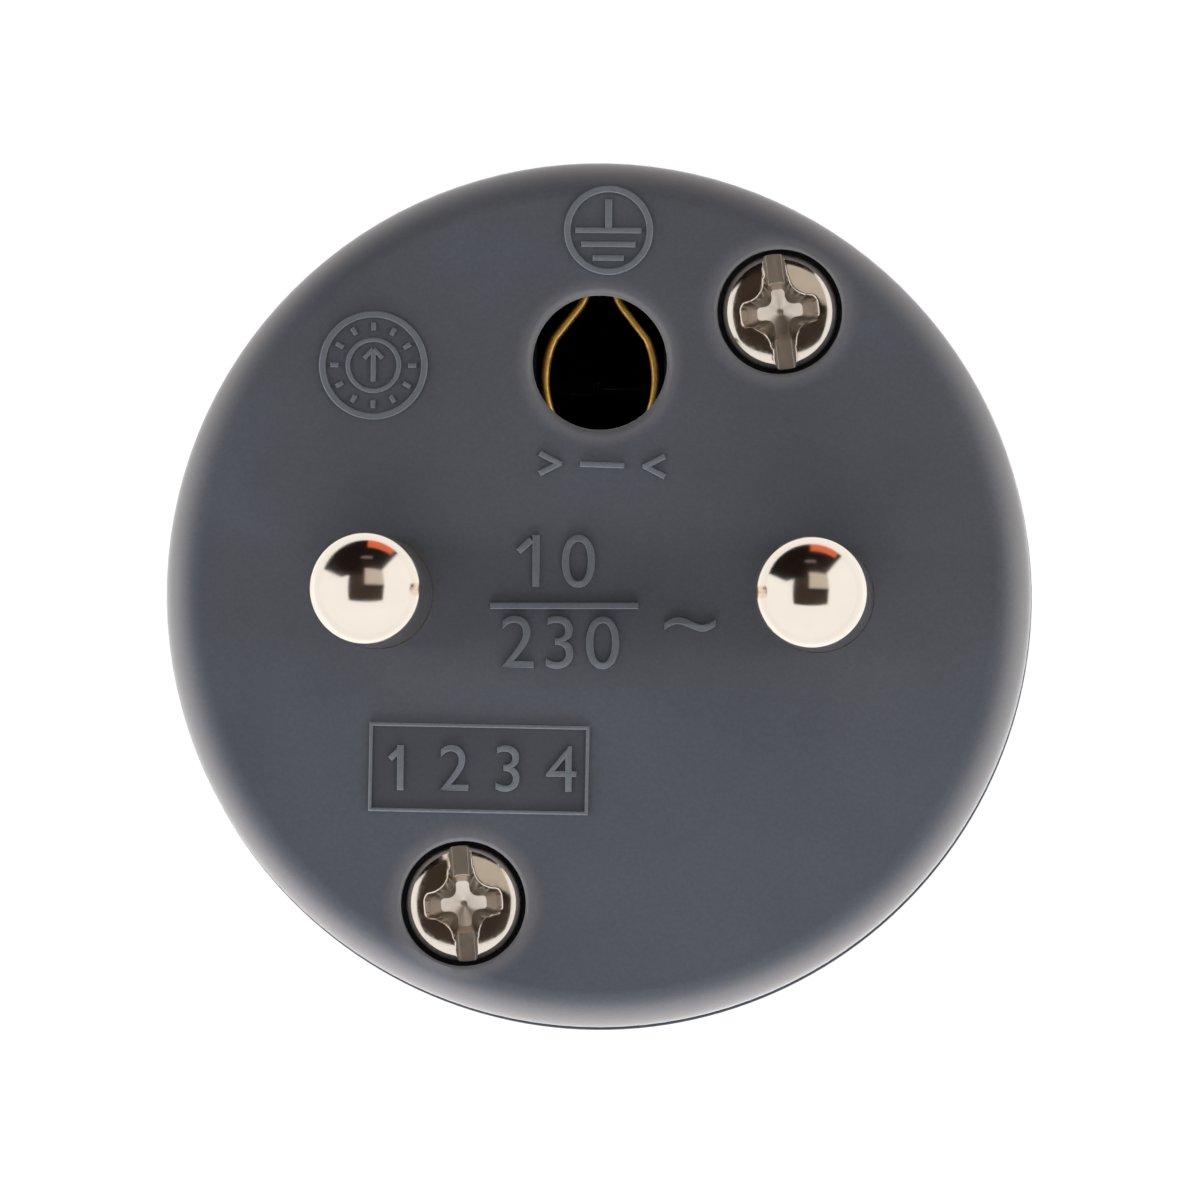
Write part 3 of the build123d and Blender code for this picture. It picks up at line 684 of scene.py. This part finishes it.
class PLUG_OT_screws(bpy.types.Operator):
    """Two housing screws with a slot and a cross recess."""

    bl_idname = "plug.screws"
    bl_label = "Housing screws"

    def execute(self, context):
        sizes = context.scene.plug_sizes
        r, top = sizes.head_diameter / 2, SCREW_TOP_Z
        seat = top - sizes.head_height
        x, y, _ = seat_of("upper_assembly_screw")
        # Threaded shank, then the head with its rounded edge and low crown
        thread, core, pitch = 1.5 * MM, 1.22 * MM, 0.5 * MM
        levels = [(SCREW_END_Z, 1.1 * MM)]
        z = SCREW_END_Z + 0.3 * MM
        while z < seat - 2.2 * MM:
            levels += [(z, thread), (z + 0.06 * MM, thread), (z + 0.22 * MM, core),
                       (z + 0.34 * MM, core)]
            z += pitch
        levels += [(z, thread), (seat, thread), (seat, r - 0.1 * MM), (seat + 0.1 * MM, r)]
        # Low dome, a sloping brow round it and a small rounding into the side of the head
        dome, brow, rim, slope = 11 * MM, 2.02 * MM, 2.22 * MM, radians(21)
        brow_z = top - dome + sqrt(dome ** 2 - brow ** 2)
        rim_z = brow_z - (rim - brow) * tan(slope)
        edge = (r - rim) / (1 - sin(slope))
        for i in range(9):
            t = pi / 2 - (pi / 2 - slope) * i / 8
            levels.append((rim_z - edge * (cos(slope) - cos(t)),
                           rim + edge * (sin(t) - sin(slope))))
        for k in range(6, 0, -1):
            levels.append((top - dome + sqrt(dome ** 2 - (brow * k / 6) ** 2), brow * k / 6))
        levels.append((top, 0.0))
        screw = turned("upper_housing_screw", levels, 64, (x, y))
        # Slot with leaning walls
        half, over = sizes.slot_width / 2, top + 0.2 * MM
        slot = block("slot", (x - half, y - 4 * MM, top - 0.72 * MM), (x + half, y + 4 * MM, over))
        edit(slot)
        floor = lambda f: f.normal.z < -0.9
        pick("FACE", floor)
        resize(0.62, 1, (x, y, top))
        # Cross recess: a block with four arms, rounded in plan, that narrows downwards
        half, span = sizes.cross_arm / 2, sizes.cross_span / 2
        arm, floor_z = span - half, top - 1.6 * MM
        cross = block("cross", (x - half, y - half, floor_z), (x + half, y + half, over))
        edit(cross)
        for dx, dy in ((1, 0), (-1, 0), (0, 1), (0, -1)):
            side = Vector((x + dx * half, y + dy * half, (floor_z + over) / 2))
            pick("FACE", lambda f: (middle(f) - side).length < 0.1 * half)
            bpy.ops.mesh.extrude_region_move(
                TRANSFORM_OT_translate={"value": (dx * arm, dy * arm, 0)})
        reach = lambda e: max(abs(middle(e).x - x), abs(middle(e).y - y))
        pick("EDGE", lambda e: rise(e) > 1 * MM and reach(e) < half * 1.1)
        bpy.ops.mesh.bevel(offset=1.05 * MM, segments=10)
        pick("EDGE", lambda e: rise(e) > 1 * MM and reach(e) > span * 0.95)
        bpy.ops.mesh.bevel(offset=0.4 * MM, segments=8)
        pick("FACE", floor)
        resize(0.3, 0.3, (x, y, top))
        # A cone closes it below
        cone = turned("cone", [(top + 1 * MM, 3 * MM), (top - 0.9 * MM, 3 * MM),
                               (top - 0.95 * MM, 1.3 * MM), (top - 1.4 * MM, 0.15 * MM),
                               (top - 1.42 * MM, 0.0)], 48, (x, y))
        cut(cross, cone, operation="INTERSECT")
        cut(screw, slot, cross)
        # Broken edges round the four lands
        off = lambda item: (middle(item).xy - Vector((x, y))).length
        land = lambda f: f.normal.z > 0.9 and middle(f).z > top - 0.4 * MM
        edit(screw)
        pick("VERT", lambda v: v.co.z > top - 0.5 * MM and off(v) < 2.2 * MM)
        bpy.ops.mesh.remove_doubles(threshold=0.02 * MM)
        pick("EDGE", lambda e: sum(land(f) for f in e.link_faces) == 1 and off(e) < 2.3 * MM
             and e.calc_face_angle() > radians(35))
        bpy.ops.mesh.bevel(offset=0.06 * MM, segments=2, clamp_overlap=False, loop_slide=False)
        close(screw)
        smooth(screw, 13)
        # Turn both screws as they were left by the driver
        about, lower = (x, y, 0), seat_of("lower_assembly_screw")
        steel = finish_named("nickel_plated_steel")
        twin = copy_of(screw, "lower_housing_screw", (lower[0] - x, lower[1] - y, 0),
                       radians(5.0), about)
        upper = copy_of(screw, "upper_screw_turned", (0, 0, 0), radians(7.5), about)
        bpy.data.objects.remove(screw)
        upper.name = upper.data.name = "upper_housing_screw"
        ready(upper, steel, "plated_screw", "upper_assembly_screw")
        ready(twin, steel, "plated_screw", "lower_assembly_screw")
        return {"FINISHED"}


class PLUG_OT_earth_contact(bpy.types.Operator):
    """Earth contact, a brass strip bent into a loop with a tail."""

    bl_idname = "plug.earth_contact"
    bl_label = "Earth contact"

    def execute(self, context):
        sizes = context.scene.plug_sizes
        low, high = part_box("earth_contact")
        t, width, neck = sizes.strip, 11 * MM, 2.8 * MM
        front, back = high.z, high.z - width
        tab, bend, end = 0.3 * MM + t / 2, high.y - 1.4 * MM, high.y
        # Middle line of the strip: the sides of an upright oval, drawn in to the two tabs above
        # and closed by a flat bottom below
        wide, tall, cy = (sizes.loop_width + t) / 2, 3.2 * MM, EARTH_Y - 0.7 * MM
        upper, lower, bottom = cy + 1.9 * MM, cy - 1.7 * MM, low.y + t / 2
        piece = circle("earth_socket_contact", 128, wide, (0, cy, front))
        resize(1, tall / wide, (0, cy, front))
        pick("VERT", lambda v: not lower < v.co.y < upper)
        bpy.ops.mesh.delete(type="VERT")
        for side in (1, -1):
            route = [[(tab, bend), (tab, end)], [(0.5 * wide, bottom), (0, bottom)]]
            for ahead, points in zip((1, -1), route):
                pick("VERT", lambda v: v.co.x * side > 0 and len(v.link_edges) == 1
                     and (v.co.y - cy) * ahead > 0)
                at = [v.co.copy() for v in bmesh.from_edit_mesh(piece.data).verts if v.select][0]
                for x, y in points:
                    step = (side * x - at.x, y - at.y, 0)
                    bpy.ops.mesh.extrude_vertices_move(TRANSFORM_OT_translate={"value": step})
                    at += Vector(step)
                corner = Vector((side * points[0][0], points[0][1], front))
                pick("VERT", lambda v: (v.co - corner).length < PLAY)
                bpy.ops.mesh.bevel(offset=0.8 * MM, segments=8, affect="VERTICES")
        # Drawn back to the width of the strip
        weld(0.001 * MM)
        draw_edges(0, 0, back - front)
        # Tail behind the left tab, with a neck and a broad end
        pick("EDGE", lambda e: abs(middle(e).z - back) < PLAY and middle(e).y > bend + 0.4 * MM
             and abs(middle(e).x + tab) < 10 * PLAY)
        draw_edges(0, 0, -neck)
        draw_edges(0, 0, low.z - back + neck)
        pick("EDGE", lambda e: middle(e).z < back - 3 * MM and len(e.link_faces) == 1
             and rise(e) > 1 * MM and middle(e).y < end - 0.2 * MM)
        broad_y = 9.4 * MM
        near = min(v.co.y for v in bmesh.from_edit_mesh(piece.data).verts if v.select)
        draw_edges(0, broad_y - near, 0)
        weld(0.001 * MM)
        face_outwards()
        begin()
        apply(piece, "SOLIDIFY", thickness=t, offset=0.0)
        close(piece)
        hole = rod("hole", -2 * MM, 2 * MM, 1.65 * MM, 48)
        cut(piece, lay(hole, (-tab, 11.9 * MM, low.z + 3.4 * MM), pi / 2, "Y"))
        apply(piece, "BEVEL", width=0.14 * MM, segments=3, limit_method="ANGLE",
              angle_limit=radians(50))
        smooth(piece, 40)
        ready(piece, finish_named("rolled_brass_strip"), "contact_brass", "earth_contact")
        return {"FINISHED"}


class PLUG_OT_marks(bpy.types.Operator):
    """Raised marks moulded on the face."""

    bl_idname = "plug.marks"
    bl_label = "Moulded marks"
    # Level of the roots of the marks, and the rounding of their edges
    root, soft = FACE_Z - 0.1 * MM, 0.05 * MM

    def bar(self, name, ends, width, height=None):
        """A raised line between two points of the face, in millimetres."""
        a, b = (Vector(end) * MM for end in ends)
        run = (b - a).length
        piece = block(name, (-run / 2, -width / 2, self.root),
                      (run / 2, width / 2, FACE_Z + (height or self.height)))
        edit(piece)
        pick("FACE", lambda f: f.normal.z > 0.9)
        bpy.ops.mesh.bevel(offset=self.soft, segments=2)
        begin()
        return lay(piece, (*(a + b) / 2, 0), (b - a).angle_signed(Vector((1, 0))), "Z")

    def ring(self, name, place, radius, width):
        """A raised ring about a point of the face, in millimetres."""
        x, y = place[0] * MM, place[1] * MM
        outer, inner = (radius + width / 2) * MM, (radius - width / 2) * MM
        piece = circle(name, 96, outer, (x, y, self.root))
        top, soft = FACE_Z + self.height, self.soft
        steps = [(outer, top - soft), (outer - soft, top), (inner + soft, top),
                 (inner, top - soft), (inner, self.root)]
        r, z = outer, self.root
        for next_r, next_z in steps:
            draw_edges(0, 0, next_z - z)
            resize(next_r / r, next_r / r, (x, y, next_z))
            r, z = next_r, next_z
        pick("VERT", lambda v: abs(v.co.z - self.root) < PLAY)
        bpy.ops.mesh.select_mode(type="EDGE")
        bpy.ops.mesh.bridge_edge_loops()
        return close(piece)

    def border(self, name, place, size, turn, width):
        """A raised rectangular line about a point of the face, sizes in millimetres."""
        begin()
        bpy.ops.mesh.primitive_plane_add(
            size=1, location=(place[0] * MM, place[1] * MM, self.root), rotation=(0, 0, turn))
        bpy.context.object.scale = (size[0] * MM, size[1] * MM, 1)
        piece = settle(name)
        edit(piece)
        bpy.ops.mesh.select_mode(type="FACE")
        bpy.ops.mesh.select_all(action="SELECT")
        bpy.ops.mesh.inset(thickness=width)
        bpy.ops.mesh.delete(type="FACE")
        bpy.ops.mesh.select_all(action="SELECT")
        top = FACE_Z + self.height
        bpy.ops.mesh.extrude_region_move(
            TRANSFORM_OT_translate={"value": (0, 0, top - self.root)})
        face_outwards()
        pick("EDGE", lambda e: abs(middle(e).z - top) < PLAY and e.calc_face_angle() > 1)
        bpy.ops.mesh.bevel(offset=self.soft, segments=2)
        return close(piece)

    def words(self, name, text, place, size):
        """Raised plain numbers or signs, centred on a point of the face, in millimetres."""
        begin()
        bpy.ops.object.text_add(
            location=(place[0] * MM, place[1] * MM, FACE_Z + self.height / 2 - 0.02 * MM))
        letters = bpy.context.object.data
        letters.body = text
        letters.size = size * MM
        letters.align_x, letters.align_y = "CENTER", "CENTER"
        letters.space_character, letters.space_word = 1.12, 0.7
        letters.offset = -0.012 * size * MM
        letters.extrude = self.height / 2 - 0.01 * MM
        letters.bevel_depth, letters.bevel_resolution = 0.03 * MM, 1
        bpy.ops.object.convert(target="MESH")
        piece = settle(name)
        edit(piece)
        weld(0.0005 * MM)
        face_outwards()
        begin()
        return piece

    def execute(self, context):
        sizes = context.scene.plug_sizes
        self.height = sizes.mark_height
        line = sizes.mark_stroke
        # A line that runs into another one stays a little lower
        low = 0.93 * self.height
        made = []
        # Sign of the earth terminal, in its ring
        ex, ey = 0.33, 15.7
        sign = [self.ring("earth_ring", (ex, ey), 1.78, 0.28),
                self.bar("earth_stem", ((ex, ey + 1.35), (ex, ey)), 0.3 * MM, low)]
        for half, drop in ((1.43, 0.0), (1.17, 0.6), (0.67, 1.19)):
            sign.append(self.bar("earth_bar", ((ex - half, ey - drop), (ex + half, ey - drop)),
                                 0.24 * MM))
        made.append(("earth_sign", sign))
        # Plain numbers over and under a line, with a wave for alternating current
        made.append(("rating_numbers", [
            self.words("upper_number", "10", (-1.75, 1.3), 3.27),
            self.bar("flag", ((-2.86, 2.36), (-3.42, 1.84)), line, low),
            self.words("lower_number", "230", (-1.59, -2.2), 3.27),
            self.words("wave", "~", (4.0, -1.1), 4.2),
            self.bar("rating_line", ((-4.62, -0.51), (1.76, -0.46)), line)]))
        # Chevrons that point at each other, with a short bar between them
        chevrons = []
        for x, y, run in ((-1.62, 5.64, -0.93), (1.92, 5.55, 0.93)):
            for side, height in ((1, self.height), (-1, low)):
                ends = (x + run, y + 0.44 * side), (x, y - 0.04 * side)
                chevrons.append(self.bar("chevron", ends, 0.85 * line, height))
        chevrons.append(self.bar("chevron_bar", ((-0.8, 5.62), (1.1, 5.57)), 0.85 * line))
        made.append(("material_chevrons", chevrons))
        # Frame with plain cavity numbers
        fx, fy, lean = -5.045, -7.54, radians(-0.6)
        made.append(("cavity_frame", [
            self.border("frame_lines", (fx, fy), (9.47, 3.82), lean, 0.5 * line),
            self.words("cavity_numbers", "1 2 3 4", (fx + 0.1, fy - 0.1), 2.85),
            self.bar("flag", ((fx - 3.35, fy + 0.86), (fx - 3.83, fy + 0.4)), 0.9 * line, low)]))
        # Round mould dial: two rings, twelve ticks and a pointer
        dx, dy = -9.75, 9.8
        dial = [self.ring("dial_outer", (dx, dy), 2.2, 0.28),
                self.ring("dial_inner", (dx, dy), 1.1, 0.2),
                self.bar("pointer", ((dx, dy - 0.7), (dx, dy + 0.7)), 0.22 * MM),
                self.bar("pointer_left", ((dx - 0.4, dy + 0.3), (dx, dy + 0.7)), 0.2 * MM, low),
                self.bar("pointer_right", ((dx + 0.4, dy + 0.3), (dx, dy + 0.7)), 0.2 * MM,
                         0.96 * low)]
        for i in range(12):
            c, d = cos(i * pi / 6), sin(i * pi / 6)
            dial.append(self.bar("tick", ((dx + 1.5 * c, dy + 1.5 * d),
                                          (dx + 1.85 * c, dy + 1.85 * d)), 0.2 * MM))
        made.append(("mould_dial", dial))
        for name, pieces in made:
            choose(*pieces)
            bpy.ops.object.join()
            piece = settle(name)
            smooth(piece, 30)
            ready(piece, finish_named("smooth_polypropylene"), "housing_plastic")
        # Polished plate inside the frame
        dx, dy = 4.68 * cos(lean), 4.68 * sin(lean)
        plate = self.bar("cavity_plate", ((fx - dx, fy - dy), (fx + dx, fy + dy)), 3.75 * MM,
                         0.015 * MM)
        smooth(plate)
        ready(plate, finish_named("polished_polypropylene"), "housing_plastic")
        return {"FINISHED"}


class PLUG_OT_inner_parts(bpy.types.Operator):
    """Finishes of the pieces inside the housing."""

    bl_idname = "plug.inner_parts"
    bl_label = "Inner parts"

    def execute(self, context):
        finishes = {
            # Painted shade: the steel parts in here are drawn nearly black
            "zinc_plated_steel_in_painted_shade": (
                "left_terminal_screw", "right_terminal_screw", "earth_terminal_screw",
                "earth_clamp_washer", "left_clamp_screw", "right_clamp_screw",
                "upper_assembly_nut", "lower_assembly_nut"),
            "rolled_brass_strip": ("earth_terminal_nut",),
            "moulded_polyamide": ("cord_clamp_bar",),
        }
        for finish, names in finishes.items():
            for name in names:
                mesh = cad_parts[name].data
                mesh.materials.clear()
                mesh.materials.append(finish_named(finish))
        return {"FINISHED"}


class PLUG_OT_stage(bpy.types.Operator):
    """White floor, soft light and the camera."""

    bl_idname = "plug.stage"
    bl_label = "Stage"

    def seen(self, tree):
        """A node that gives 1 for rays of the camera, of shiny surfaces and of glass."""
        path = node(tree, "ShaderNodeLightPath")
        ray = path.outputs["Is Camera Ray"]
        for other in ("Is Glossy Ray", "Is Transmission Ray"):
            ray = node(tree, "ShaderNodeMath", {
                0: ray, 1: path.outputs[other]}, operation="MAXIMUM")
        return ray

    def card(self, name, place, turn, size, colour):
        """A plain card that shows only in shiny surfaces."""
        begin()
        bpy.ops.mesh.primitive_plane_add(size=1, location=place, rotation=turn)
        card = bpy.context.object
        card.name = name
        card.scale = (*size, 1)
        card.visible_camera = card.visible_diffuse = card.visible_shadow = False
        paint = blank(name)
        glow = node(paint.node_tree, "ShaderNodeEmission", {"Color": linear(colour)})
        node(paint.node_tree, "ShaderNodeOutputMaterial", {"Surface": glow})
        card.data.materials.append(paint)

    def lamp(self, name, place, size, radiance):
        """A soft strip light that faces the plug."""
        bpy.ops.object.light_add(type="AREA", location=place)
        lamp = bpy.context.object
        lamp.name = name
        lamp.data.shape = "RECTANGLE"
        lamp.data.size, lamp.data.size_y = size
        lamp.data.energy = radiance * pi * size[0] * size[1]
        aim = Vector((0, 0, 43 * MM)) - Vector(place)
        lamp.rotation_euler = aim.to_track_quat("-Z", "Z").to_euler()
        lamp.visible_camera = lamp.visible_glossy = False

    def execute(self, context):
        scene = context.scene
        scene.view_settings.view_transform = "Standard"
        begin()
        bpy.ops.mesh.primitive_plane_add(size=4, location=(0, 0, -0.05 * MM))
        floor = bpy.context.object
        floor.name = "floor"
        # Matt white paper that looks white to the camera and to metal, and still takes a shadow
        paper = blank("white_paper")
        tree = paper.node_tree
        share = node(tree, "ShaderNodeMath", {0: self.seen(tree), 1: 0.9}, operation="MULTIPLY")
        matt = node(tree, "ShaderNodeBsdfDiffuse", {"Color": scene.plug_colours.floor})
        glow = node(tree, "ShaderNodeEmission", {"Strength": 1.0})
        mixed = node(tree, "ShaderNodeMixShader", {0: share, 1: matt, 2: glow})
        node(tree, "ShaderNodeOutputMaterial", {"Surface": mixed})
        floor.data.materials.append(paper)
        # White tent all round, dimmer to matt surfaces
        world = scene.world or bpy.data.worlds.new("white_tent")
        scene.world = world
        world.use_nodes = True
        tree = world.node_tree
        tree.nodes.clear()
        level = node(tree, "ShaderNodeMapRange", {
            VALUE: self.seen(tree), TO_LOW: 0.68, TO_HIGH: 1.0})
        sky = node(tree, "ShaderNodeBackground", {
            "Color": (1.0, 1.0, 1.0, 1.0), "Strength": level})
        node(tree, "ShaderNodeOutputWorld", {"Surface": sky})
        # Low strips that light the rim
        self.lamp("strip_near", (-0.03, -0.16, 0.08), (0.3, 0.06), 12.0)
        self.lamp("strip_left", (-0.16, 0, 0.06), (0.3, 0.06), 6.5)
        self.lamp("strip_right", (0.16, 0, 0.05), (0.3, 0.06), 6.5)
        # Dark board beyond the earth hole with a pale pane above it, a warm lamp and a small
        # window, and the dark shape of the camera stand overhead with a window beside it
        self.card("dark_board", (-0.27, 0.38, 0.418), (pi / 2, 0, 0), (1.18, 0.835), "#1A1412")
        self.card("camera_stand", (0.0, 0.02, 1.06), (0, 0, 0), (1.28, 0.94), "#3A3029")
        self.card("window_overhead", (0.31, 0.515, 1.05), (0, 0, 0), (0.7, 0.77), "#C4BCB0")
        self.card("window_bar", (0.31, 0.075, 1.05), (0, 0, 0), (0.7, 0.11), "#120E0C")
        self.card("window_pane", (0.145, 0.377, 0.7), (pi / 2, 0, 0), (0.35, 0.27), "#C4BCB0")
        self.card("warm_lamp", (0.13, 0.375, 0.06), (pi / 2, 0, 0), (0.26, 0.12), "#DC6E4C")
        self.card("board_window", (0.0, 0.378, 0.29), (pi / 2, 0, 0), (0.13, 0.035), "#8A8078")
        # Camera above the face, a little to the right and towards the user
        place, target = Vector((43.21, -20.12, 1945.4)) * MM, Vector((0.109, -0.225, 46)) * MM
        bpy.ops.object.camera_add(location=place)
        camera = bpy.context.object
        camera.name = "camera"
        back, roll = (camera.location - target).normalized(), radians(0.531)
        right = Vector((0, 1, 0)).cross(back).normalized()
        axes = Matrix((right, back.cross(right), back)).transposed()
        camera.rotation_euler = (axes @ Matrix.Rotation(roll, 3, "Z")).to_euler()
        camera.data.sensor_width = 36
        camera.data.lens = 1323.6
        camera.data.clip_start, camera.data.clip_end = 0.01, 20
        scene.camera = camera
        return {"FINISHED"}


class PLUG_PT_panel(bpy.types.Panel):
    """The plug's pieces and sizes in the sidebar."""

    bl_idname = "PLUG_PT_panel"
    bl_label = "Mains plug"
    bl_space_type = "VIEW_3D"
    bl_region_type = "UI"
    bl_category = "Mains plug"

    def draw(self, context):
        for operator in OPERATORS:
            self.layout.operator(operator.bl_idname)
        for group in (context.scene.plug_sizes, context.scene.plug_colours):
            for key in group.__annotations__:
                self.layout.prop(group, key)


OPERATORS = (PLUG_OT_stage, PLUG_OT_housing, PLUG_OT_marks, PLUG_OT_pins, PLUG_OT_screws,
             PLUG_OT_earth_contact, PLUG_OT_inner_parts)
CLASSES = (PlugSizes, PlugColours, *OPERATORS, PLUG_PT_panel)


def register():
    for cls in CLASSES:
        bpy.utils.register_class(cls)
    bpy.types.Scene.plug_sizes = bpy.props.PointerProperty(type=PlugSizes)
    bpy.types.Scene.plug_colours = bpy.props.PointerProperty(type=PlugColours)


def unregister():
    del bpy.types.Scene.plug_colours
    del bpy.types.Scene.plug_sizes
    for cls in reversed(CLASSES):
        bpy.utils.unregister_class(cls)


def main():
    register()
    bpy.ops.plug.stage()
    bpy.ops.plug.housing()
    bpy.ops.plug.marks()
    bpy.ops.plug.pins()
    bpy.ops.plug.screws()
    bpy.ops.plug.earth_contact()
    bpy.ops.plug.inner_parts()
    begin()


if __name__ == "__main__":
    main()
